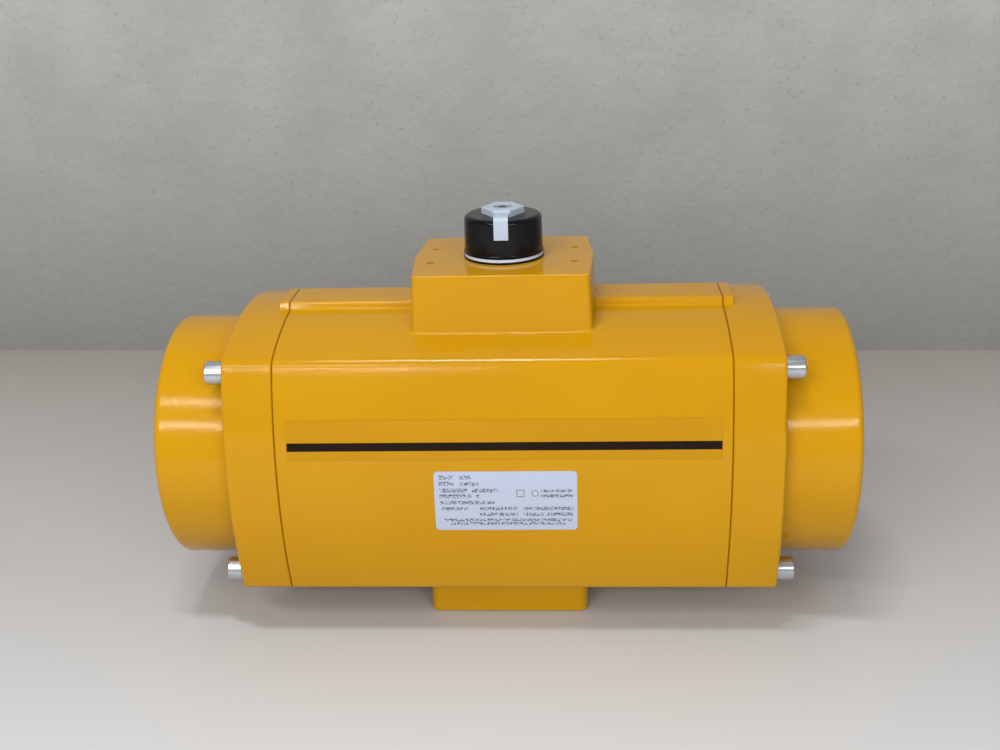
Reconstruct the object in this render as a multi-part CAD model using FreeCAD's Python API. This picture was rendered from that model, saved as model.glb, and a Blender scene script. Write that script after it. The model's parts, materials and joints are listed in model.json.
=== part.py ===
"""Spring-return rack-and-pinion quarter-turn actuator, one STEP file per piece.

Frame, in millimetres: the origin is the centre of the valve flange face, on the pinion
axis. +X runs along the pistons, -Y is the labelled front, +Z points up to the indicator.
The rest pose is the spring-closed position, with both pistons driven inwards.
"""
import FreeCAD, Part
import math
import os

V = FreeCAD.Vector
X_AXIS = V(1, 0, 0)
Y_AXIS = V(0, 1, 0)
Z_AXIS = V(0, 0, 1)

# ---- driving dimensions ----
HOUSING_HALF = 121.3      # pinion axis to the end-cap joint
FLANGE_END = 149.0        # pinion axis to the outer face of a cap flange
SCREW_SEAT = 148.1        # spot face under the cap screws' washers
DOME_END = 191.6          # pinion axis to the outer face of a spring dome
AXIS_Z = 94.5             # height of the bore axis
BORE_R = 63.0
DOME_R = 70.7
DOME_WALL = 5.5
CROWN_Z = 176.0           # top of the housing's crown
SHOULDER_Y, SHOULDER_Z = 66.8, 162.0
SHOULDER_RADIUS = 8.0
SIDE_Y = 79.9             # widest point of the bulged side
SIDE_FOOT_Y, SIDE_FOOT_Z = 70.2, 28.4
SIDE_FOOT_RADIUS = 4.2
BELLY_Z = 20.0            # lowest line of the crowned underside
RIDGE_TOP = 179.7
RIDGE_HALF_Y = 14.0
RIDGE_RUNOUT = 5.6        # how far the ridge runs onto each cap
PAD_TOP = 201.44
PAD_HALF_Y = 42.8         # at the top face, as are the next two
PAD_CORNER_X, PAD_MIDDLE_X = 47.6, 50.4
PAD_LEAN = 2.0            # how much further out the pad's walls start, inside the crown
FOOT_HALF_X, FOOT_HALF_Y = 45.4, 48.2
CAST_RADIUS = 2.0         # where the ridge, pad, foot and bosses leave the barrel
FLANGE_PCD = 102.0        # F10 valve flange, four M10
SPIGOT_R, SPIGOT_DEPTH = 35.0, 3.0
M5_TAP_R, M8_TAP_R, M10_TAP_R, G14_TAP_R = 2.1, 4.02, 4.25, 5.9
CAP_SCREW_OFFSET = 59.5   # cap screws sit at +-this in Y, and above and below the bore axis

MODULE, TEETH = 3.0, 18
PITCH_R = MODULE * TEETH / 2
PRESSURE_ANGLE = math.radians(20)
BACKLASH = 0.5
RACK_HALF_Z = 17.0
JOURNAL_R = 31.0          # lower journal, larger than the gear so that the pinion slides in
STEM_R = 17.5             # upper journal
FIT = 0.07                # radial clearance of every running fit

PISTON_INNER, PISTON_OUTER = 54.0, 76.0
PISTON_R = 62.5
SEAT_DEPTH = 5.0          # spring recess in the piston's outer face
RACK_TIP_X = 51.5
RACK_BACK_Y = 56.0

STOP_X, STOP_Z = 24.0, 122.0
STOP_FACE_Y = 10.0        # cam face that meets a stop screw
STOP_R = 5.95
STOP_BOSS_Y = 84.0
PORT_X, PORT_Z, PORT_PAD_Y = 12.0, 62.0, 84.0
CHANNEL_Y, CHANNEL_Z, CHANNEL_R = 68.0, 74.0, 3.5

SIDES = {"left": -1, "right": 1}

os.makedirs("parts", exist_ok=True)


# ---- helpers ----
def save(name, shape):
    shape.exportStep("parts/" + name + ".step")


def rod(radius, start, length, axis=Z_AXIS):
    return Part.makeCylinder(radius, length, V(*start), axis)


def ring(outer, inner, start, length, axis=Z_AXIS):
    return rod(outer, start, length, axis).cut(rod(inner, start, length, axis))


def box(low, high):
    size = [b - a for a, b in zip(low, high)]
    return Part.makeBox(*size, V(*low))


def prism(points, direction):
    """Extrude a closed polygon, given as (x, y, z) corners, along a vector."""
    corners = [V(*p) for p in points]
    return Part.Face(Part.makePolygon(corners + corners[:1])).extrude(direction)


def torus(ring_radius, wire_radius, centre, axis=Z_AXIS):
    return Part.makeTorus(ring_radius, wire_radius, V(*centre), axis)


def hexagon(across_flats, start, length, axis=Z_AXIS):
    """Hexagonal prism whose corners lie on the first direction square to its axis."""
    radius = across_flats / math.sqrt(3)
    turns = [math.radians(60 * k) for k in range(6)]
    points = [(radius * math.cos(a), radius * math.sin(a), 0) for a in turns]
    body = prism(points, V(0, 0, length))
    body.Placement = FreeCAD.Placement(V(*start), FreeCAD.Rotation(Z_AXIS, axis))
    return body


def edges_where(shape, test):
    return [e for e in shape.Edges if test(e)]


def runs_along(edge, axis, length):
    if len(edge.Vertexes) != 2:
        return False
    span = edge.Vertexes[1].Point.sub(edge.Vertexes[0].Point)
    return abs(abs(span.dot(axis)) - length) < 1e-4 and abs(edge.Length - length) < 1e-4


def lies_on_plane(edge, axis, position):
    box_ = edge.BoundBox
    low = V(box_.XMin, box_.YMin, box_.ZMin).dot(axis)
    high = V(box_.XMax, box_.YMax, box_.ZMax).dot(axis)
    return abs(low - position) < 1e-3 and abs(high - position) < 1e-3


def half_turned(shape, side):
    """The left-hand piece as made, or turned half a turn about the pinion for the right."""
    return shape if side < 0 else shape.rotated(V(0, 0, 0), Z_AXIS, 180)


def mirrored(shape, side):
    """The right-hand piece as made, or its mirror image for the left."""
    return shape if side > 0 else shape.mirror(V(0, 0, 0), X_AXIS)


# ---- housing and caps ----
def outline_block(x_start, x_end):
    """The barrel's outline, crowned above and below, bulged at the sides, between X planes."""
    shoulder_l, shoulder_r = V(0, -SHOULDER_Y, SHOULDER_Z), V(0, SHOULDER_Y, SHOULDER_Z)
    foot_l, foot_r = V(0, -SIDE_FOOT_Y, SIDE_FOOT_Z), V(0, SIDE_FOOT_Y, SIDE_FOOT_Z)
    edges = [
        Part.Arc(shoulder_l, V(0, 0, CROWN_Z), shoulder_r).toShape(),
        Part.Arc(shoulder_r, V(0, SIDE_Y, 92), foot_r).toShape(),
        Part.Arc(foot_r, V(0, 0, BELLY_Z), foot_l).toShape(),
        Part.Arc(foot_l, V(0, -SIDE_Y, 92), shoulder_l).toShape(),
    ]
    length = x_end - x_start
    block = Part.Face(Part.Wire(edges)).extrude(V(length, 0, 0))
    block.translate(V(x_start, 0, 0))
    shoulders = edges_where(block, lambda e: runs_along(e, X_AXIS, length)
                            and e.BoundBox.ZMin > AXIS_Z)
    block = block.makeFillet(SHOULDER_RADIUS, shoulders)
    feet = edges_where(block, lambda e: runs_along(e, X_AXIS, length)
                       and e.BoundBox.ZMin < SIDE_FOOT_Z + 0.01)
    return block.makeFillet(SIDE_FOOT_RADIUS, feet)


def ridge(x_start, x_end):
    """Flat-topped rib along the crown, with walls that lean a little."""
    base, lean = 166.0, 4.8
    points = [(x_start, -RIDGE_HALF_Y - lean, base), (x_start, -RIDGE_HALF_Y, RIDGE_TOP),
              (x_start, RIDGE_HALF_Y, RIDGE_TOP), (x_start, RIDGE_HALF_Y + lean, base)]
    length = x_end - x_start
    body = prism(points, V(length, 0, 0))
    crests = edges_where(body, lambda e: runs_along(e, X_AXIS, length)
                         and e.BoundBox.ZMax > RIDGE_TOP - 1)
    return body.makeFillet(1.2, crests)


def pad_outline(z, lean):
    half_y, corner_x, middle_x = PAD_HALF_Y + lean, PAD_CORNER_X + lean, PAD_MIDDLE_X + lean
    points = [(-corner_x, -half_y), (corner_x, -half_y), (middle_x, 0), (corner_x, half_y),
              (-corner_x, half_y), (-middle_x, 0), (-corner_x, -half_y)]
    return Part.makePolygon([V(x, y, z) for x, y in points])


def pad():
    """Six-sided accessory pad, widest at the middle, with leaning walls and rounded edges."""
    low = 162.0
    body = Part.makeLoft([pad_outline(low, PAD_LEAN), pad_outline(PAD_TOP, 0)], True, True)
    corners = edges_where(body, lambda e: e.BoundBox.ZLength > PAD_TOP - low - 1)
    body = body.makeFillet(3.0, corners)
    rim = edges_where(body, lambda e: lies_on_plane(e, Z_AXIS, PAD_TOP))
    return body.makeFillet(0.9, rim)


def foot():
    top = 36.0
    body = box((-FOOT_HALF_X, -FOOT_HALF_Y, 0), (FOOT_HALF_X, FOOT_HALF_Y, top))
    corners = edges_where(body, lambda e: runs_along(e, Z_AXIS, top))
    body = body.makeFillet(5.0, corners)
    rim = edges_where(body, lambda e: lies_on_plane(e, Z_AXIS, 0))
    return body.makeFillet(1.5, rim)


def solenoid_pad():
    body = box((-27, 60, PORT_Z - 20), (27, PORT_PAD_Y, PORT_Z + 20))
    corners = edges_where(body, lambda e: runs_along(e, Y_AXIS, PORT_PAD_Y - 60))
    return body.makeFillet(4.0, corners)


def cap_screw_centres():
    steps = (-CAP_SCREW_OFFSET, CAP_SCREW_OFFSET)
    return [(y, AXIS_Z + z) for y in steps for z in steps]


def corner_points(half_x, half_y):
    return [(x, y) for x in (-half_x, half_x) for y in (-half_y, half_y)]


def edges_within(shape, low, high):
    """Edges that lie wholly inside a box, which is how the root of a boss is picked out."""
    def fits(edge):
        b = edge.BoundBox
        return (low[0] <= b.XMin and b.XMax <= high[0] and low[1] <= b.YMin
                and b.YMax <= high[1] and low[2] <= b.ZMin and b.ZMax <= high[2])
    return edges_where(shape, fits)


def soften_joint_edges(shape, x_plane):
    """Small chamfer round the outside of a joint face, which leaves a V groove at the seam."""
    rim = edges_where(shape, lambda e: lies_on_plane(e, X_AXIS, x_plane))
    return shape.makeChamfer(0.7, rim)


def housing():
    end = HOUSING_HALF
    body = outline_block(-end, end)
    body = body.fuse(ridge(-end, end)).fuse(pad()).fuse(foot()).fuse(solenoid_pad())
    for x in (-STOP_X, STOP_X):
        body = body.fuse(rod(11, (x, 60, STOP_Z), STOP_BOSS_Y - 60, Y_AXIS))
    body = body.removeSplitter()
    roots = []
    for low, high in (
            ((-53.5, -46, 168.5), (53.5, 46, RIDGE_TOP + 0.5)),
            ((-46, -49, 19), (46, 49, 25)),
            ((-36, 73, 41), (36, 83, 134)),
            ((48, -17, 174), (end, 17, 176)),
            ((-end, -17, 174), (-48, 17, 176))):
        roots += edges_within(body, low, high)
    body = body.makeFillet(CAST_RADIUS, roots)
    for plane in (-end, end):
        body = soften_joint_edges(body, plane)
    cuts = [
        rod(BORE_R, (-end - 1, 0, AXIS_Z), 2 * end + 2, X_AXIS),
        rod(SPIGOT_R, (0, 0, -1), SPIGOT_DEPTH + 1),
        rod(JOURNAL_R + FIT, (0, 0, 0), 50),
        rod(34.05, (0, 0, 16), 34),
        rod(24.0, (0, 0, 120), 158.5 - 120),
        rod(20.5, (0, 0, 150), 187 - 150),
        rod(STEM_R + FIT, (0, 0, 150), 60),
        rod(CHANNEL_R, (-end - 1, CHANNEL_Y, CHANNEL_Z), 2 * end + 2, X_AXIS),
        rod(CHANNEL_R, (PORT_X, CHANNEL_Y + 1, PORT_Z), CHANNEL_Z - PORT_Z),
        rod(CHANNEL_R, (PORT_X, CHANNEL_Y - 1, PORT_Z), 5, Y_AXIS),
        rod(CHANNEL_R, (-PORT_X, 50, PORT_Z), 25, Y_AXIS),
    ]
    for x, y in corner_points(40, 15):
        cuts.append(rod(M5_TAP_R, (x, y, PAD_TOP - 10), 12))
    bolt_xy = FLANGE_PCD / 2 / math.sqrt(2)
    for x, y in corner_points(bolt_xy, bolt_xy):
        cuts.append(rod(M10_TAP_R, (x, y, -1), 21))
    for x, z in corner_points(16, 12):
        cuts.append(rod(M5_TAP_R, (x, PORT_PAD_Y - 10, PORT_Z + z), 12, Y_AXIS))
    for x in (-PORT_X, PORT_X):
        cuts.append(rod(G14_TAP_R, (x, PORT_PAD_Y - 14, PORT_Z), 16, Y_AXIS))
    for x in (-STOP_X, STOP_X):
        cuts.append(rod(STOP_R + FIT, (x, 40, STOP_Z), 50, Y_AXIS))
    for y, z in cap_screw_centres():
        for start in (-end - 1, end - 22):
            cuts.append(rod(M8_TAP_R, (start, y, z), 23, X_AXIS))
    return body.cut(cuts)


def end_cap():
    """Right-hand cap: a flange with the housing's outline, and the hollow spring dome."""
    start = HOUSING_HALF
    body = outline_block(start, FLANGE_END)
    ridge_end = start + RIDGE_RUNOUT
    body = body.fuse(ridge(start, ridge_end)).removeSplitter()
    body = body.makeFillet(CAST_RADIUS, edges_within(body, (start, -17, 174), (ridge_end, 17, 176.5)))
    body = soften_joint_edges(body, start)
    rim = edges_where(body, lambda e: lies_on_plane(e, X_AXIS, FLANGE_END))
    body = body.makeFillet(1.8, rim)
    dome = rod(DOME_R, (start + 1, 0, AXIS_Z), DOME_END - start - 1, X_AXIS)
    rim = edges_where(dome, lambda e: lies_on_plane(e, X_AXIS, DOME_END))
    body = body.fuse(dome.makeFillet(4.2, rim)).removeSplitter()
    root = edges_where(body, lambda e: lies_on_plane(e, X_AXIS, FLANGE_END)
                       and abs(e.Length - 2 * math.pi * DOME_R) < 1)
    body = body.makeFillet(2.5, root)
    body = body.fuse(ring(62.85, 61, (start - 1.8, 0, AXIS_Z), 4, X_AXIS))
    inner_r = DOME_R - DOME_WALL
    cuts = [
        rod(61, (start - 3, 0, AXIS_Z), 10, X_AXIS),
        rod(inner_r, (start + 5, 0, AXIS_Z), DOME_END - DOME_WALL - start - 5, X_AXIS),
        ring(67.1, 63.9, (start, 0, AXIS_Z), 2.6, X_AXIS),
        rod(CHANNEL_R, (start - 1, CHANNEL_Y, CHANNEL_Z), 12, X_AXIS),
        rod(CHANNEL_R, (start + 9, 50, CHANNEL_Z), CHANNEL_Y - 50 + 2, Y_AXIS),
    ]
    for y, z in cap_screw_centres():
        cuts.append(rod(4.4, (start - 1, y, z), 40, X_AXIS))
        cuts.append(rod(7.6, (SCREW_SEAT, y, z), 5, X_AXIS))
    body = body.cut(cuts)
    seat = ring(44, 41.5, (DOME_END - DOME_WALL - 4, 0, AXIS_Z), 5, X_AXIS)
    return body.fuse(seat).removeSplitter()


def cap_screw(y, z):
    """M8 x 45 socket head screw through a right-hand cap, head outwards."""
    seat = SCREW_SEAT + 3.0
    head = rod(6.5, (seat, y, z), 8, X_AXIS)
    rim = edges_where(head, lambda e: lies_on_plane(e, X_AXIS, seat + 8))
    head = head.makeFillet(0.9, rim)
    head = head.cut(hexagon(6, (seat + 4, y, z), 5, X_AXIS))
    return head.fuse(rod(3.95, (seat - 48, y, z), 49, X_AXIS))


def lock_washer(y, z):
    """Split spring washer: a ring with one slanted gap."""
    body = ring(6.35, 4.1, (SCREW_SEAT + 1.4, y, z), 1.55, X_AXIS)
    gap = box((SCREW_SEAT, y - 0.4, z), (SCREW_SEAT + 4, y + 0.4, z + 9))
    return body.cut(gap.rotated(V(SCREW_SEAT + 2, y, z + 5), Z_AXIS, 25))


def cap_hardware(make_one):
    return Part.makeCompound([make_one(y, z) for y, z in cap_screw_centres()])


# ---- pistons ----
def rack_arm():
    """Toothed arm of the left piston, on the +Y side of the pinion."""
    pitch = math.pi * MODULE
    half = (pitch / 2 - BACKLASH) / 2
    tip_y, root_y = PITCH_R - MODULE + 0.1, PITCH_R + MODULE * 1.25 + 0.25
    slope = math.tan(PRESSURE_ANGLE)
    half_tip = half - (PITCH_R - tip_y) * slope
    half_root = half + (root_y - PITCH_R) * slope
    points = [(-PISTON_INNER - 2, root_y)]
    for k in range(-2, 6):
        centre = k * pitch
        points += [(centre - half_root, root_y), (centre - half_tip, tip_y),
                   (centre + half_tip, tip_y), (centre + half_root, root_y)]
    points += [(RACK_TIP_X, root_y), (RACK_TIP_X, RACK_BACK_Y), (-PISTON_INNER - 2, RACK_BACK_Y)]
    low = AXIS_Z - RACK_HALF_Z
    return prism([(x, y, low) for x, y in points], V(0, 0, 2 * RACK_HALF_Z))


def guide_pad():
    body = box((-4, 51.05, AXIS_Z - 9), (46, 70, AXIS_Z + 9))
    return body.common(rod(BORE_R - FIT, (-10, 0, AXIS_Z), 60, X_AXIS))


def piston():
    """Left piston at rest: disc, spring seat and the rack cast in one."""
    disc = rod(PISTON_R, (-PISTON_OUTER, 0, AXIS_Z), PISTON_OUTER - PISTON_INNER, X_AXIS)
    faces = edges_where(disc, lambda e: lies_on_plane(e, X_AXIS, -PISTON_INNER)
                        or lies_on_plane(e, X_AXIS, -PISTON_OUTER))
    body = disc.makeChamfer(0.8, faces).fuse(rack_arm())
    cuts = [
        rod(56.5, (-PISTON_OUTER - 1, 0, AXIS_Z), SEAT_DEPTH + 1, X_AXIS),
        ring(64, 59.5, (-72.4, 0, AXIS_Z), 3.8, X_AXIS),
        ring(64, 60.9, (-64.05, 0, AXIS_Z), 7.1, X_AXIS),
        box((-4.05, 51, AXIS_Z - 9.05), (46.05, 60, AXIS_Z + 9.05)),
    ]
    body = body.cut(cuts)
    seat = ring(44, 41.5, (-PISTON_OUTER, 0, AXIS_Z), SEAT_DEPTH + 1, X_AXIS)
    return body.fuse(seat).removeSplitter()


def spring(mean_radius, wire_radius, turns, side):
    """Compression spring at rest, from the piston's seat to the end of the dome.

    Each turn is two half rings, tilted opposite ways so that their round ends meet.
    """
    gap = 0.5
    seat_x = PISTON_OUTER - SEAT_DEPTH + gap + wire_radius
    end_x = DOME_END - DOME_WALL - gap - wire_radius
    rise = (end_x - seat_x) / (2 * turns)
    ring_radius = math.hypot(mean_radius, rise / 2)
    tilt = math.degrees(math.atan2(rise / 2, mean_radius))
    halves = []
    for k in range(2 * turns):
        half = Part.makeTorus(ring_radius, wire_radius, V(0, 0, 0), Z_AXIS, 0, 360, 180)
        half.rotate(V(0, 0, 0), Y_AXIS, tilt)
        half.rotate(V(0, 0, 0), Z_AXIS, 180 * (k % 2))
        half.translate(V(0, 0, (k + 0.5) * rise))
        halves.append(half)
    coil = halves[0].fuse(halves[1:]).removeSplitter()
    coil.rotate(V(0, 0, 0), Y_AXIS, 90)
    coil.translate(V(seat_x, 0, AXIS_Z))
    return mirrored(coil, side)


# ---- pinion ----
def involute_half_angle(radius):
    """Half the angle that a tooth fills at a radius on its involute flank."""
    def involute(angle):
        return math.tan(angle) - angle
    angle = math.acos(PITCH_R * math.cos(PRESSURE_ANGLE) / radius)
    return math.pi / (2 * TEETH) + involute(PRESSURE_ANGLE) - involute(angle)


def gear_blank(z_start, z_end):
    base_r = PITCH_R * math.cos(PRESSURE_ANGLE)
    tip_r, root_r = PITCH_R + MODULE, PITCH_R - 1.25 * MODULE
    middle_r = (base_r + tip_r) / 2

    def at(radius, angle):
        return V(radius * math.cos(angle), radius * math.sin(angle), z_start)

    at_base, at_middle, at_tip = [involute_half_angle(r) for r in (base_r, middle_r, tip_r)]
    edges = []
    step = 2 * math.pi / TEETH
    for k in range(TEETH):
        a = k * step
        edges += [
            Part.LineSegment(at(root_r, a - at_base), at(base_r, a - at_base)).toShape(),
            Part.Arc(at(base_r, a - at_base), at(middle_r, a - at_middle),
                     at(tip_r, a - at_tip)).toShape(),
            Part.Arc(at(tip_r, a - at_tip), at(tip_r, a), at(tip_r, a + at_tip)).toShape(),
            Part.Arc(at(tip_r, a + at_tip), at(middle_r, a + at_middle),
                     at(base_r, a + at_base)).toShape(),
            Part.LineSegment(at(base_r, a + at_base), at(root_r, a + at_base)).toShape(),
            Part.Arc(at(root_r, a + at_base), at(root_r, a + step / 2),
                     at(root_r, a + step - at_base)).toShape(),
        ]
    return Part.Face(Part.Wire(edges)).extrude(V(0, 0, z_end - z_start))


def double_flat(radius, half_flats, z_start, length):
    body = rod(radius, (0, 0, z_start), length)
    return body.common(box((-half_flats, -radius, z_start), (half_flats, radius, z_start + length)))


def pinion():
    cam = rod(30.5, (0, 0, 115), 14).common(box((-40, -40, 115), (STOP_FACE_Y, STOP_FACE_Y, 129)))
    body = gear_blank(74, 113)
    pieces = [
        rod(JOURNAL_R, (0, 0, 3.6), 70.4),
        rod(17.9, (0, 0, 110), 21),
        rod(22, (0, 0, 113), 2),
        cam,
        rod(22, (0, 0, 131), 26),
        rod(STEM_R, (0, 0, 157), 51),
        rod(12, (0, 0, 208), 13.4),
        double_flat(10, 7.5, 221.4, 3.2),
    ]
    body = body.fuse(pieces).removeSplitter()
    cuts = [
        ring(JOURNAL_R + 1, 28.7, (0, 0, 8), 4),
        ring(STEM_R + 1, 14.4, (0, 0, 190), 4),
        ring(STEM_R + 1, 16.0, (0, 0, 204.35), 2),
        double_flat(22.05, 19.05, 3, 31.2),
        rod(16.5, (0, 0, 30), 30),
        rod(3.0, (0, 0, 212), 14),
    ]
    return body.cut(cuts)


def drive_insert():
    """Insert with an eight-pointed bore that takes a 22 mm square stem either way."""
    half = 11.0
    body = double_flat(22, 19, 3.6, 30)
    square = box((-half, -half, 2), (half, half, 36))
    return body.cut([square, square.rotated(V(0, 0, 0), Z_AXIS, 45)])


def circlip():
    return ring(20.2, 16.1, (0, 0, 204.45), 1.75).cut(box((-3, 10, 204), (3, 22, 207)))


def top_thrust_washer():
    """Plastic ring under the indicator, rounded round its outside."""
    body = ring(22.6, STEM_R + 0.1, (0, 0, PAD_TOP), 1.3)
    outside = edges_where(body, lambda e: e.BoundBox.XLength > 45)
    return body.makeFillet(0.4, outside)


# ---- indicator ----
def indicator_cup():
    """Cup with a small skirt, near-straight sides and a rounded top edge."""
    outer = [
        Part.LineSegment(V(0, 0, 204.5), V(22.4, 0, 204.5)).toShape(),
        Part.LineSegment(V(22.4, 0, 204.5), V(22.4, 0, 205.4)).toShape(),
        Part.Arc(V(22.4, 0, 205.4), V(22.05, 0, 205.9), V(21.95, 0, 206.6)).toShape(),
        Part.LineSegment(V(21.95, 0, 206.6), V(21.7, 0, 222.7)).toShape(),
        Part.Arc(V(21.7, 0, 222.7), V(20.9, 0, 224.75), V(18.9, 0, 225.5)).toShape(),
        Part.LineSegment(V(18.9, 0, 225.5), V(0, 0, 225.5)).toShape(),
        Part.LineSegment(V(0, 0, 225.5), V(0, 0, 204.5)).toShape(),
    ]
    body = Part.Face(Part.Wire(outer)).revolve(V(0, 0, 0), Z_AXIS, 360)
    cuts = [
        rod(20.6, (0, 0, 204), 3.6),
        rod(18.6, (0, 0, 204), 17.5),
        double_flat(10.1, 7.6, 220, 6),
    ]
    return body.cut(cuts)


def indicator_pointer():
    """Long hexagonal plate with a tab that folds down over the front of the cup."""
    low, top = 225.6, 229.4
    side_x, end_x, end_y = 11.95, 4.75, 11.8
    points = [(-side_x, 0, low), (-end_x, -end_y, low), (end_x, -end_y, low),
              (side_x, 0, low), (end_x, end_y, low), (-end_x, end_y, low)]
    plate = prism(points, V(0, 0, top - low))
    crown = edges_where(plate, lambda e: lies_on_plane(e, Z_AXIS, top))
    plate = plate.makeChamfer(0.4, crown)
    arm = box((-3.9, -24.0, low), (3.9, -9, 228.2))
    tab = box((-3.9, -24.0, 215.7), (3.9, -22.2, 228.2))
    arm = arm.fuse(tab).removeSplitter()
    bend = edges_where(arm, lambda e: runs_along(e, X_AXIS, 7.8)
                       and e.BoundBox.ZMin > 228.1 and e.BoundBox.YMax < -23.9)
    arm = arm.makeFillet(2.6, bend)
    body = plate.fuse(arm).removeSplitter()
    return body.cut([rod(5.2, (0, 0, 227.2), 4), rod(3.15, (0, 0, 224), 6)])


def indicator_screw():
    head = rod(4.8, (0, 0, 227.25), 1.9)
    head = head.makeFillet(0.7, edges_where(head, lambda e: lies_on_plane(e, Z_AXIS, 229.15)))
    head = head.cut(hexagon(4, (0, 0, 227.9), 2))
    return head.fuse(rod(2.95, (0, 0, 214), 13.5))


# ---- travel stops ----
def stop_screw(x):
    head_y = 97.0
    shank = rod(STOP_R, (x, STOP_FACE_Y + 0.1, STOP_Z), head_y - STOP_FACE_Y, Y_AXIS)
    head = hexagon(19, (x, head_y, STOP_Z), 7.5, Y_AXIS)
    return shank.fuse(head).removeSplitter()


def stop_lock_nut(x):
    return hexagon(19, (x, STOP_BOSS_Y + 1.65, STOP_Z), 6.5, Y_AXIS).cut(
        rod(STOP_R + FIT, (x, 80, STOP_Z), 20, Y_AXIS))


def stop_seal_washer(x):
    return ring(10, STOP_R + FIT, (x, STOP_BOSS_Y, STOP_Z), 1.6, Y_AXIS)


# ---- labels ----
def label(x_low, x_high, z_low, z_high, corner_radius):
    """Thin sticker that follows the bulged front of the housing."""
    thickness = 0.16
    front = Part.Arc(V(x_low, -SHOULDER_Y, SHOULDER_Z), V(x_low, -SIDE_Y, 92),
                     V(x_low, -SIDE_FOOT_Y, SIDE_FOOT_Z)).toShape().Curve
    centre, radius = front.Center, front.Radius
    start = (x_low, centre.y, centre.z)
    shell = ring(radius + 0.02 + thickness, radius + 0.02, start, x_high - x_low, X_AXIS)
    block = box((x_low, -100, z_low), (x_high, -60, z_high))
    corners = edges_where(block, lambda e: runs_along(e, Y_AXIS, 40))
    return shell.common(block.makeFillet(corner_radius, corners))


# ---- write the pieces ----
save("housing", housing())
for side_name, side in SIDES.items():
    save("end_cap_" + side_name, mirrored(end_cap(), side))
    save("cap_seal_" + side_name,
         mirrored(torus(65.5, 1.25, (HOUSING_HALF + 1.3, 0, AXIS_Z), X_AXIS), side))
    save("cap_screws_" + side_name, mirrored(cap_hardware(cap_screw), side))
    save("lock_washers_" + side_name, mirrored(cap_hardware(lock_washer), side))
    save("flat_washers_" + side_name, mirrored(cap_hardware(
        lambda y, z: ring(6.6, 4.2, (SCREW_SEAT, y, z), 1.35, X_AXIS)), side))
    save("piston_" + side_name, half_turned(piston(), side))
    save("piston_oring_" + side_name,
         half_turned(torus(61.2, 1.65, (-70.5, 0, AXIS_Z), X_AXIS), side))
    save("guide_band_" + side_name, half_turned(
        ring(BORE_R - FIT, 61, (-64, 0, AXIS_Z), 7, X_AXIS), side))
    save("rack_guide_pad_" + side_name, half_turned(guide_pad(), side))
    save("spring_outer_" + side_name, spring(50, 4.5, 6, side))
    save("spring_inner_" + side_name, spring(36, 3.5, 8, side))

save("pinion", pinion())
save("drive_insert", drive_insert())
save("lower_bearing", ring(34, JOURNAL_R + FIT, (0, 0, 16.1), 14.9))
save("upper_bearing", ring(20.45, STEM_R + FIT, (0, 0, 160), 26.8))
save("lower_pinion_oring", torus(29.9, 1.1, (0, 0, 10)))
save("upper_pinion_oring", torus(16.0, 1.45, (0, 0, 192)))
save("inner_thrust_washer", ring(23.4, STEM_R + 0.1, (0, 0, 157.05), 1.4))
save("top_thrust_washer", top_thrust_washer())
save("top_backing_washer", ring(22.1, STEM_R + 0.1, (0, 0, PAD_TOP + 1.3), 1.5))
save("circlip", circlip())
save("indicator_cup", indicator_cup())
save("indicator_pointer", indicator_pointer())
save("indicator_screw", indicator_screw())
for stop_name, x in (("closed_stop_screw", -STOP_X), ("open_stop_screw", STOP_X)):
    save(stop_name, stop_screw(x))
save("stop_lock_nuts", Part.makeCompound([stop_lock_nut(x) for x in (-STOP_X, STOP_X)]))
save("stop_seal_washers", Part.makeCompound([stop_seal_washer(x) for x in (-STOP_X, STOP_X)]))
save("strip_label", label(-114.6, 115.6, 111.0, 132.6, 0.8))
save("data_label", label(-36.6, 39.8, 69.4, 104.3, 2.2))
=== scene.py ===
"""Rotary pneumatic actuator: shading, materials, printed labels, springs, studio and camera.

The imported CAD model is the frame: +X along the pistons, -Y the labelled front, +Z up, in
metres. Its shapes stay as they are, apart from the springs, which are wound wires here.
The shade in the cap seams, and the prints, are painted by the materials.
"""
import json
import math

import bpy
from mathutils import Matrix, Vector


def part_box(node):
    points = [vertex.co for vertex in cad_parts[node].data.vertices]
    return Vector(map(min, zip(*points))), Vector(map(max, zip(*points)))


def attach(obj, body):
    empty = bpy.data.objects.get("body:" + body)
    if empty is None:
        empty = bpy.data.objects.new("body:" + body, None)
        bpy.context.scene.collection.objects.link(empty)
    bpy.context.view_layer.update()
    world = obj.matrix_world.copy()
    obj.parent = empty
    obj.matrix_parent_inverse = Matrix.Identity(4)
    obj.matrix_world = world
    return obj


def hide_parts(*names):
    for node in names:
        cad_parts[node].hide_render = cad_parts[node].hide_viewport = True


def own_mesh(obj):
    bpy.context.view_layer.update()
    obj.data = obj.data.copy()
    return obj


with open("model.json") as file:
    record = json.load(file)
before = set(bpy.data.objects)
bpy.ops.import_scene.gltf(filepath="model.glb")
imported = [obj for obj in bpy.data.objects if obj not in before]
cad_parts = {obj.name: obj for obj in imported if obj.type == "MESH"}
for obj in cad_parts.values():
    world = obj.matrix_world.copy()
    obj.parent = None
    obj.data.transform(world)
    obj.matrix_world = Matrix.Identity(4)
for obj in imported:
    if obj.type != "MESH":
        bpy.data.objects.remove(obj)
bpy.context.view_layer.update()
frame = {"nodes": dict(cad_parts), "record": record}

nodes = frame["nodes"]
scene = bpy.context.scene
MM = 0.001
BODY_MIDDLE = (0, 0, 0.1)


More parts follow.
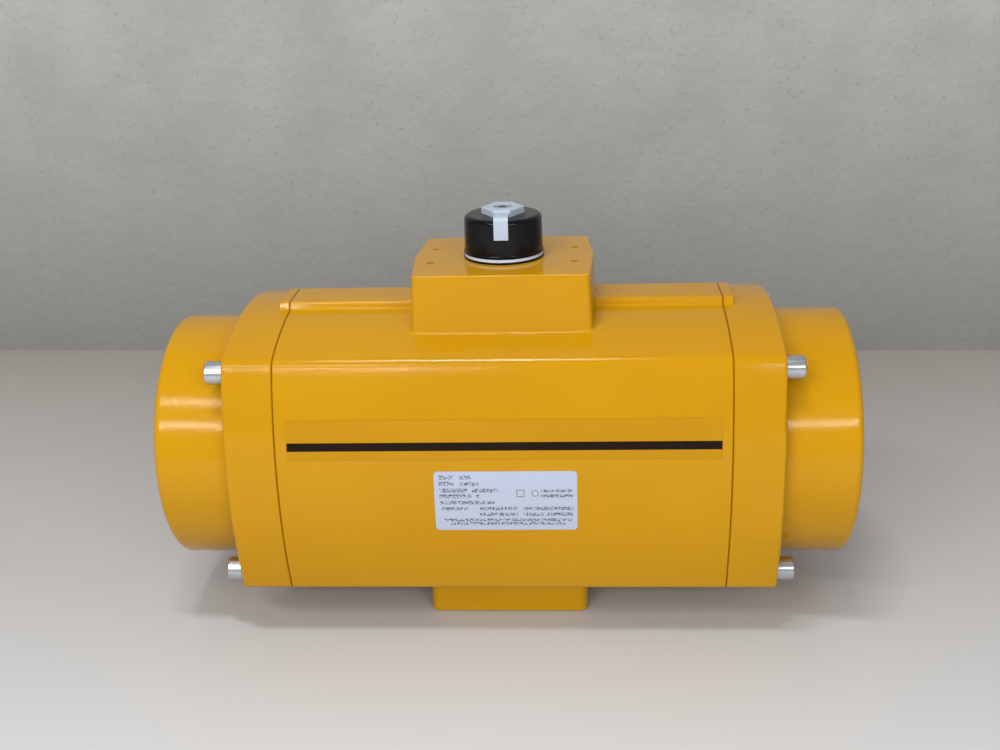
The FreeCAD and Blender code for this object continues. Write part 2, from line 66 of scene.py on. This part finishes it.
# ---- camera, floor and light ----
def make_camera():
    """Eye, aim and roll that give the view along the front, from just right of centre."""
    eye = Vector((0.0390, -0.6621, 0.3740))
    heading, dip, roll = math.radians(-3.76), math.radians(20.24), math.radians(-1.87)
    forward = Vector((math.sin(heading) * math.cos(dip), math.cos(heading) * math.cos(dip),
                      -math.sin(dip)))
    level = Vector((math.cos(heading), -math.sin(heading), 0))
    lift = level.cross(forward)
    right = math.cos(roll) * level + math.sin(roll) * lift
    up = -math.sin(roll) * level + math.cos(roll) * lift
    data = bpy.data.cameras.new("camera")
    data.sensor_width = 36.0
    data.lens = 43.57
    data.clip_start, data.clip_end = 0.01, 50
    camera = bpy.data.objects.new("camera", data)
    turn = Matrix((right, up, -forward)).transposed().to_4x4()
    camera.matrix_world = Matrix.Translation(eye) @ turn
    scene.collection.objects.link(camera)
    scene.camera = camera


def add_mesh(name, vertices, faces, smooth=False):
    """A mesh object of that name, linked into the scene."""
    mesh = bpy.data.meshes.new(name)
    mesh.from_pydata(vertices, [], faces)
    mesh.validate()
    for polygon in mesh.polygons:
        polygon.use_smooth = smooth
    piece = bpy.data.objects.new(name, mesh)
    scene.collection.objects.link(piece)
    return piece


def make_stage():
    """A pale table top that runs back to a plain wall, which is clear when seen from behind."""
    reach, wall_top = 3.0, 2.4
    wall_left_y, wall_right_y = 0.520, 0.314
    floor = add_mesh("floor", [(-reach, -reach, 0), (reach, -reach, 0), (reach, reach, 0),
                               (-reach, reach, 0)], [(0, 1, 2, 3)])
    floor.data.materials.append(floor_material())
    wall = add_mesh("wall", [(-reach, wall_left_y, 0), (reach, wall_right_y, 0),
                             (reach, wall_right_y, wall_top),
                             (-reach, wall_left_y, wall_top)], [(0, 1, 2, 3)])
    wall.data.materials.append(wall_material())


def add_area(name, place, size, watts, mirrored=True):
    """Rectangular lamp aimed at the body. Unless mirrored, no surface reflects its shape."""
    data = bpy.data.lights.new(name, "AREA")
    data.shape = "RECTANGLE"
    data.size, data.size_y = size
    data.energy = watts
    lamp = bpy.data.objects.new(name, data)
    lamp.location = place
    lamp.rotation_mode = "QUATERNION"
    lamp.rotation_quaternion = (Vector(BODY_MIDDLE) - Vector(place)).to_track_quat("-Z", "Y")
    lamp.visible_glossy = mirrored
    scene.collection.objects.link(lamp)


def make_light():
    """Broad soft lamps from the front, and thin bright ones that make the highlights."""
    add_area("soft_left", (-0.9, -2.2, 1.5), (1.8, 1.3), 10.5, mirrored=False)
    add_area("soft_right", (0.9, -2.0, 1.3), (1.4, 1.0), 6, mirrored=False)
    add_area("soft_low", (0, -2.2, 0.5), (2.4, 0.6), 12, mirrored=False)
    add_area("upper_strip", (-0.75, -1.30, 1.58), (1.1, 0.05), 9.0)
    add_area("lower_strip", (-0.75, -1.75, 1.02), (1.1, 0.05), 11.0)
    add_area("ceiling_tube", (-0.17, -0.42, 1.95), (0.55, 0.035), 14.0)
    add_area("right_strip", (0.95, -1.75, 1.00), (0.8, 0.05), 8.0)
    world = bpy.data.worlds.new("room")
    world.use_nodes = True
    background = world.node_tree.nodes["Background"]
    background.inputs["Color"].default_value = (0.80, 0.80, 0.80, 1)
    background.inputs["Strength"].default_value = 0.37
    scene.world = world
    scene.view_settings.view_transform = "Standard"


# ---- material building blocks ----
class Recipe:
    """A node material under construction, with short ways to add and join nodes.

    Textures take object coordinates, which are frame coordinates in metres.
    """

    def __init__(self, name):
        self.material = bpy.data.materials.new(name)
        self.material.use_nodes = True
        self.tree = self.material.node_tree
        self.shader = self.tree.nodes["Principled BSDF"]
        self.place = self.node("ShaderNodeTexCoord").outputs["Object"]

    def node(self, kind, **settings):
        """Add a node of that kind, with its properties set."""
        made = self.tree.nodes.new(kind)
        for key, value in settings.items():
            setattr(made, key, value)
        return made

    def join(self, source, target):
        self.tree.links.new(source, target)

    def set(self, **values):
        """Set the shader's sockets, whose spaces are written as underscores."""
        for key, value in values.items():
            self.shader.inputs[key.replace("_", " ")].default_value = value

    def noise(self, scale, detail=2.0, roughness=0.5, place=None):
        made = self.node("ShaderNodeTexNoise")
        made.inputs["Scale"].default_value = scale
        made.inputs["Detail"].default_value = detail
        made.inputs["Roughness"].default_value = roughness
        self.join(place or self.place, made.inputs["Vector"])
        return made.outputs["Fac"]

    def stretched(self, scale):
        """The coordinates scaled by a different factor along each axis."""
        made = self.node("ShaderNodeMapping")
        made.inputs["Scale"].default_value = scale
        self.join(self.place, made.inputs["Vector"])
        return made.outputs["Vector"]

    def ramp(self, source, stops):
        """Colour ramp from (position, colour) pairs."""
        made = self.node("ShaderNodeValToRGB")
        elements = made.color_ramp.elements
        while len(elements) < len(stops):
            elements.new(0.5)
        for element, (position, colour) in zip(elements, stops):
            element.position = position
            element.color = (*colour, 1)
        self.join(source, made.inputs["Fac"])
        return made.outputs["Color"]

    def spread(self, source, low, high, from_low=0.0, from_high=1.0):
        """Map the source from one range to another, clamped."""
        made = self.node("ShaderNodeMapRange")
        made.inputs["From Min"].default_value = from_low
        made.inputs["From Max"].default_value = from_high
        made.inputs["To Min"].default_value = low
        made.inputs["To Max"].default_value = high
        self.join(source, made.inputs["Value"])
        return made.outputs["Result"]

    def mix(self, factor, first, second):
        """Blend two colours, each a tuple or a socket."""
        made = self.node("ShaderNodeMix", data_type="RGBA")
        self.join(factor, made.inputs["Factor"])
        for socket, value in (("A", first), ("B", second)):
            target = [i for i in made.inputs if i.name == socket and i.type == "RGBA"][0]
            if isinstance(value, tuple):
                target.default_value = (*value, 1)
            else:
                self.join(value, target)
        return [o for o in made.outputs if o.type == "RGBA"][0]

    def maths(self, operation, first, second=0.0):
        """One maths node on two values, each a float or a socket."""
        made = self.node("ShaderNodeMath", operation=operation)
        for socket, value in zip(made.inputs, (first, second)):
            if isinstance(value, float):
                socket.default_value = value
            else:
                self.join(value, socket)
        return made.outputs["Value"]

    def axes(self):
        """The X, Y and Z coordinates as three sockets."""
        made = self.node("ShaderNodeSeparateXYZ")
        self.join(self.place, made.inputs["Vector"])
        return made.outputs["X"], made.outputs["Y"], made.outputs["Z"]

    def between(self, source, low, high):
        """One where the source lies from low to high, otherwise zero."""
        return self.maths("MULTIPLY", self.maths("GREATER_THAN", source, low),
                          self.maths("LESS_THAN", source, high))

    def union(self, masks):
        """One where any of the masks is one."""
        whole = masks[0]
        for mask in masks[1:]:
            whole = self.maths("MAXIMUM", whole, mask)
        return whole

    def bump(self, *layers):
        """Stack (height source, depth in metres) layers into the shader's normal."""
        normal = None
        for source, depth in layers:
            made = self.node("ShaderNodeBump")
            made.inputs["Distance"].default_value = depth
            self.join(source, made.inputs["Height"])
            if normal is not None:
                self.join(normal, made.inputs["Normal"])
            normal = made.outputs["Normal"]
        self.join(normal, self.shader.inputs["Normal"])

    def colour(self, source):
        self.join(source, self.shader.inputs["Base Color"])

    def roughness(self, source):
        self.join(source, self.shader.inputs["Roughness"])


def floor_material():
    """Table top whose colour darkens toward the wall, a painted falloff of the light."""
    r = Recipe("pale_table_top")
    # painted light falloff: the colour runs from pale at the front to darker at the wall
    back = r.spread(r.axes()[1], 0.0, 1.0, -0.35, 0.42)
    tone = r.ramp(back, [(0.0, (0.67, 0.695, 0.725)), (0.45, (0.45, 0.434, 0.422)),
                         (1.0, (0.335, 0.308, 0.276))])
    cloud = r.spread(r.noise(2.2, 4), 0.0, 0.15)
    r.colour(r.mix(cloud, tone, (0.50, 0.49, 0.48)))
    r.roughness(r.spread(r.noise(30, 3), 0.34, 0.42))
    r.bump((r.noise(160, 3), 0.00005))
    r.set(Specular_IOR_Level=0.3)
    return r.material


def wall_material():
    """Plain wall with painted shade, darker low down near the table and lighter toward the top.
    It lets a view from behind through.
    """
    r = Recipe("pale_plain_wall")
    # painted shade: the wall's colour darkens toward the table top
    rise = r.spread(r.axes()[2], 0.0, 1.0, 0.0, 0.32)
    tone = r.ramp(rise, [(0.0, (0.215, 0.212, 0.198)), (0.5, (0.30, 0.298, 0.285)),
                         (1.0, (0.36, 0.36, 0.35))])
    stain = r.mix(r.spread(r.noise(14, 6), 0.0, 0.5, 0.35, 0.75), tone, (0.24, 0.24, 0.225))
    pore = r.spread(r.noise(260, 5), 0.0, 0.45, 0.60, 0.76)
    r.colour(r.mix(pore, stain, (0.17, 0.17, 0.16)))
    r.bump((r.noise(90, 5), 0.0012))
    r.set(Roughness=0.85, Specular_IOR_Level=0.1)
    clear = r.node("ShaderNodeBsdfTransparent")
    choose = r.node("ShaderNodeMixShader")
    facing = r.node("ShaderNodeNewGeometry").outputs["Backfacing"]
    r.join(facing, choose.inputs["Fac"])
    r.join(r.shader.outputs["BSDF"], choose.inputs[1])
    r.join(clear.outputs["BSDF"], choose.inputs[2])
    output = r.tree.nodes["Material Output"]
    r.join(choose.outputs["Shader"], output.inputs["Surface"])
    return r.material


# ---- the object's materials ----
YELLOW = (0.463, 0.230, 0.0024)
YELLOW_DEEP = (0.434, 0.207, 0.0022)
YELLOW_GLOSS = (1.0, 0.94, 0.84, 1.0)
SEAM_X = 121.3 * MM           # joint between the housing and an end cap
SEAM_CORE, SEAM_EDGE = 0.10 * MM, 0.48 * MM
BAR_BOTTOM, BAR_TOP = 4.8 * MM, 9.4 * MM    # above the strip label's lower edge


def yellow_paint():
    """Glossy powder coat: orange peel, faint clouds, a few grains, and painted shade in the cap
    seams.
    """
    r = Recipe("yellow_powder_coat")
    tint = r.ramp(r.noise(9, 4), [(0.3, YELLOW_DEEP), (0.62, YELLOW)])
    speck = r.spread(r.noise(900, 2), 0.0, 0.30, 0.68, 0.82)
    paint = r.mix(speck, tint, (0.42, 0.19, 0.003))
    # painted shade: a thin dark line along each joint between the housing and an end cap
    away = r.maths("ABSOLUTE", r.maths("SUBTRACT", r.maths("ABSOLUTE", r.axes()[0]), SEAM_X))
    seam_shade = r.spread(away, 0.75, 0.0, SEAM_CORE, SEAM_EDGE)
    r.colour(r.mix(seam_shade, paint, (0.10, 0.036, 0.004)))
    r.roughness(r.spread(r.noise(60, 3), 0.10, 0.15))
    r.bump((r.noise(900, 2), 0.00006), (r.noise(300, 1), 0.00006))
    r.set(Specular_Tint=YELLOW_GLOSS, Specular_IOR_Level=0.22)
    return r.material


def cast_aluminium():
    """Bare casting: uneven grey with a rough skin."""
    r = Recipe("cast_aluminium")
    r.colour(r.ramp(r.noise(70, 5), [(0.3, (0.42, 0.425, 0.43)), (0.7, (0.56, 0.565, 0.57))]))
    r.roughness(r.spread(r.noise(240, 4), 0.38, 0.58))
    r.bump((r.noise(700, 3), 0.0002))
    r.set(Metallic=1.0)
    return r.material


def turned_metal(name, dark, light, low, high, scale=(1, 1, 1), depth=0.00003):
    """Machined or plated metal. A scale below one draws its fine marks out along an axis."""
    r = Recipe(name)
    marks = r.noise(500, 3, place=r.stretched(scale))
    r.colour(r.mix(r.noise(140, 4), dark, light))
    r.roughness(r.spread(marks, low, high))
    r.bump((marks, depth))
    r.set(Metallic=1.0)
    return r.material


def moulded(name, dark, light, low, high, grain=0.00003, shine=0.5):
    """Moulded plastic or rubber: slight mottling, a fine grain and scuffed gloss."""
    r = Recipe(name)
    r.colour(r.mix(r.noise(120, 4), dark, light))
    r.roughness(r.spread(r.noise(90, 4), low, high))
    r.bump((r.noise(1500, 2), grain))
    r.set(Specular_IOR_Level=shine)
    return r.material


def spring_coating():
    """Dark coating with a few chips."""
    r = Recipe("dark_spring_coating")
    chip = r.spread(r.noise(260, 4), 0.0, 1.0, 0.70, 0.74)
    r.colour(r.mix(chip, (0.016, 0.017, 0.019), (0.20, 0.20, 0.20)))
    r.roughness(r.spread(chip, 0.42, 0.30))
    r.bump((r.noise(800, 3), 0.00006))
    return r.material


def strip_film():
    """Clear film over the paint, with one black bar printed along its lower half."""
    r = Recipe("clear_strip_film")
    low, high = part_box("strip_label")
    across, _, up = r.axes()
    rim_z, rim_x = 0.35 * MM, 0.4 * MM
    bar = r.between(up, low.z + BAR_BOTTOM, low.z + BAR_TOP)
    inside = r.maths("MULTIPLY", r.between(up, low.z + rim_z, high.z - rim_z),
                     r.between(across, low.x + rim_x, high.x - rim_x))
    clear = r.ramp(r.noise(14, 3), [(0.3, (0.400, 0.192, 0.003)), (0.7, (0.430, 0.210, 0.004))])
    haze = r.mix(inside, (0.40, 0.178, 0.003), clear)
    ink = r.ramp(r.noise(400, 3), [(0.3, (0.007, 0.002, 0.001)), (0.7, (0.011, 0.004, 0.002))])
    r.colour(r.mix(bar, haze, ink))
    r.roughness(r.spread(r.noise(50, 3), 0.26, 0.34))
    r.bump((r.noise(240, 2), 0.00006))
    r.set(Specular_IOR_Level=0.16, Specular_Tint=YELLOW_GLOSS)
    return r.material


# rows of marks on the data label: left, right, bottom and top edge, in mm from its corner
LABEL_ROWS = [(2.6, 10.6, 30.4, 32.8), (13.6, 20.0, 30.4, 32.6),
              (2.6, 10.8, 26.8, 29.2), (13.8, 23.8, 26.6, 28.8),
              (2.8, 18.2, 22.8, 25.2), (20.2, 34.2, 22.8, 25.0),
              (2.8, 20.0, 19.4, 21.8), (22.6, 24.2, 19.4, 21.6),
              (3.0, 32.6, 15.8, 17.9), (57.0, 74.0, 22.8, 24.6), (57.0, 74.6, 19.8, 21.6),
              (3.6, 17.8, 12.2, 14.2), (24.4, 44.4, 12.2, 14.2), (47.4, 74.2, 12.2, 14.2),
              (24.2, 44.6, 8.7, 10.7), (47.6, 74.2, 8.7, 10.7),
              (4.6, 73.2, 5.4, 7.1), (8.0, 70.2, 3.2, 4.9)]
# a ring and a square outline: centre across, centre up, half width, in mm from the corner
LABEL_RING = (54.0, 22.2, 1.9)
LABEL_SQUARE = (46.2, 22.2, 2.1)
OUTLINE_WIDTH = 0.40


def label_stock():
    """Silvery film printed with rows of meaningless dashes and two plain outlines."""
    r = Recipe("silver_label_stock")
    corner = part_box("data_label")[0]
    across, _, up = r.axes()
    dashes = r.noise(1.0, 1, place=r.stretched((1050, 1, 900)))
    rows = []
    for left, right, bottom, top in LABEL_ROWS:
        within_x = r.between(across, corner.x + left * MM, corner.x + right * MM)
        within_z = r.between(up, corner.z + bottom * MM, corner.z + top * MM)
        rows.append(r.maths("MULTIPLY", within_x, within_z))
    marks = [r.maths("MULTIPLY", r.union(rows), r.spread(dashes, 0.0, 1.0, 0.47, 0.52))]
    for (mid_x, mid_z, half), square in ((LABEL_RING, False), (LABEL_SQUARE, True)):
        dx = r.maths("ABSOLUTE", r.maths("SUBTRACT", across, corner.x + mid_x * MM))
        dz = r.maths("ABSOLUTE", r.maths("SUBTRACT", up, corner.z + mid_z * MM))
        if square:
            reach = r.maths("MAXIMUM", dx, dz)
        else:
            squares = r.maths("ADD", r.maths("MULTIPLY", dx, dx), r.maths("MULTIPLY", dz, dz))
            reach = r.maths("SQRT", squares)
        marks.append(r.between(reach, (half - OUTLINE_WIDTH) * MM, half * MM))
    ink = r.maths("MULTIPLY", r.union(marks), r.spread(r.noise(2500, 2), 0.72, 0.95))
    film = r.ramp(r.noise(700, 3), [(0.3, (0.365, 0.405, 0.505)), (0.7, (0.395, 0.435, 0.535))])
    r.colour(r.mix(ink, film, (0.045, 0.055, 0.085)))
    r.roughness(r.spread(r.noise(60, 3), 0.36, 0.46))
    r.bump((r.noise(200, 2), 0.00004))
    r.set(Specular_IOR_Level=0.3)
    return r.material


# ---- coil springs ----
WIRE_RADIUS = {"outer": 4.5 * MM, "inner": 3.5 * MM}
DEAD_TURNS = 0.75             # closed turns at each end
WIRE_SIDES, STEPS_PER_TURN = 14, 36


def wire_progress(turn, turns, end_rise):
    """Share of the spring's length reached after so many turns, slow in the dead turns."""
    if turn < DEAD_TURNS:
        return end_rise * turn / DEAD_TURNS
    if turn > turns - DEAD_TURNS:
        return 1 - end_rise * (turns - turn) / DEAD_TURNS
    return end_rise + (1 - 2 * end_rise) * (turn - DEAD_TURNS) / (turns - 2 * DEAD_TURNS)


def coil_spring(side_name, size_name, turns, finish):
    """A wound wire in the space of one CAD spring, at its rest length; the real spring shortens
    as its piston goes out.
    """
    node = f"spring_{size_name}_{side_name}"
    low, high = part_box(node)
    side = 1 if side_name == "right" else -1
    wire_r = WIRE_RADIUS[size_name]
    coil_r = (high.z - low.z) / 2 - wire_r
    axis_z = (high.z + low.z) / 2
    fixed_x, free_x = (high.x, low.x) if side > 0 else (low.x, high.x)
    start, span = free_x + side * wire_r, fixed_x - free_x - 2 * side * wire_r
    steps = turns * STEPS_PER_TURN
    end_rise = 2 * wire_r * DEAD_TURNS / abs(span)
    vertices, faces = [], []
    for i in range(steps + 1):
        turn = i / STEPS_PER_TURN
        wire_x = start + span * wire_progress(turn, turns, end_rise)
        angle = 2 * math.pi * turn
        for k in range(WIRE_SIDES):
            lift = 2 * math.pi * k / WIRE_SIDES
            radius = coil_r + wire_r * math.cos(lift)
            vertices.append((wire_x + wire_r * math.sin(lift),
                             radius * math.cos(angle), axis_z + radius * math.sin(angle)))
    for i in range(steps):
        for k in range(WIRE_SIDES):
            a, b = i * WIRE_SIDES + k, i * WIRE_SIDES + (k + 1) % WIRE_SIDES
            faces.append((a, a + WIRE_SIDES, b + WIRE_SIDES, b))
    faces.append(tuple(range(WIRE_SIDES)))
    faces.append(tuple(range((steps + 1) * WIRE_SIDES - 1, steps * WIRE_SIDES - 1, -1)))
    piece = add_mesh(node + "_coil", vertices, faces, smooth=True)
    piece.data.materials.append(finish)
    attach(piece, "housing")
    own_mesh(piece)
    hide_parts(node)


# ---- shading of the CAD meshes ----
MERGE_DISTANCE = 2e-6
SMOOTH_BELOW = math.radians(24)


def crisp_shading_group():
    """Geometry nodes that join the CAD faces' edges and shade them smooth up to an angle."""
    group = bpy.data.node_groups.new("crisp_shading", "GeometryNodeTree")
    group.interface.new_socket("Geometry", in_out="INPUT", socket_type="NodeSocketGeometry")
    group.interface.new_socket("Geometry", in_out="OUTPUT", socket_type="NodeSocketGeometry")
    entry = group.nodes.new("NodeGroupInput")
    leave = group.nodes.new("NodeGroupOutput")
    merge = group.nodes.new("GeometryNodeMergeByDistance")
    merge.inputs["Distance"].default_value = MERGE_DISTANCE
    faces = group.nodes.new("GeometryNodeSetShadeSmooth")
    angle = group.nodes.new("GeometryNodeInputMeshEdgeAngle")
    flat_enough = group.nodes.new("FunctionNodeCompare")
    flat_enough.operation = "LESS_THAN"
    flat_enough.inputs["B"].default_value = SMOOTH_BELOW
    edges = group.nodes.new("GeometryNodeSetShadeSmooth")
    edges.domain = "EDGE"
    link = group.links.new
    link(entry.outputs[0], merge.inputs["Geometry"])
    link(merge.outputs["Geometry"], faces.inputs["Geometry"])
    link(faces.outputs["Geometry"], edges.inputs["Geometry"])
    link(angle.outputs["Unsigned Angle"], flat_enough.inputs["A"])
    link(flat_enough.outputs["Result"], edges.inputs["Shade Smooth"])
    link(edges.outputs["Geometry"], leave.inputs[0])
    return group


def dress_cad_nodes():
    """Give every CAD node the material of its slot and the crisp shading.

    The backing washer is pale instead. Returns the materials by slot.
    """
    finishes = {
        "yellow_paint": yellow_paint(),
        "black_rubber": moulded("nitrile_rubber", (0.010, 0.010, 0.010), (0.022, 0.022, 0.022),
                                0.45, 0.62),
        "zinc_steel": turned_metal("zinc_plated_steel", (0.53, 0.55, 0.58),
                                   (0.59, 0.61, 0.64), 0.26, 0.30, depth=0.000001),
        "stainless_steel": turned_metal("stainless_steel", (0.50, 0.50, 0.50),
                                        (0.66, 0.66, 0.66), 0.16, 0.28),
        "cast_aluminium": cast_aluminium(),
        "plated_pinion_steel": turned_metal("nickel_plated_steel", (0.44, 0.43, 0.41),
                                            (0.58, 0.57, 0.55), 0.18, 0.30, (1, 1, 0.05)),
        "natural_polymer": moulded("natural_acetal", (0.66, 0.63, 0.55), (0.74, 0.71, 0.63),
                                   0.38, 0.50),
        "spring_coating": spring_coating(),
        "black_plastic": moulded("black_moulded_plastic", (0.0020, 0.0020, 0.0026),
                                 (0.0045, 0.0045, 0.0052), 0.12, 0.18, 0.000008, 0.2),
        "grey_plastic": moulded("pale_grey_plastic", (0.345, 0.405, 0.485), (0.395, 0.455, 0.54),
                                0.40, 0.52, shine=0.3),
        "clear_strip_film": strip_film(),
        "silver_label": label_stock(),
    }
    pale = moulded("white_washer_plastic", (0.50, 0.54, 0.64), (0.58, 0.62, 0.72), 0.35, 0.45)
    shading = crisp_shading_group()
    for part in frame["record"]["subparts"]:
        piece = nodes[part["node"]]
        is_backing = part["node"] == "top_backing_washer"
        piece.data.materials.clear()
        piece.data.materials.append(pale if is_backing else finishes[part["material_slot"]])
        modifier = piece.modifiers.new("crisp_shading", "NODES")
        modifier.node_group = shading
    return finishes


make_camera()
make_stage()
make_light()
finishes = dress_cad_nodes()
for side_name in ("left", "right"):
    coil_spring(side_name, "outer", 6, finishes["spring_coating"])
    coil_spring(side_name, "inner", 8, finishes["spring_coating"])
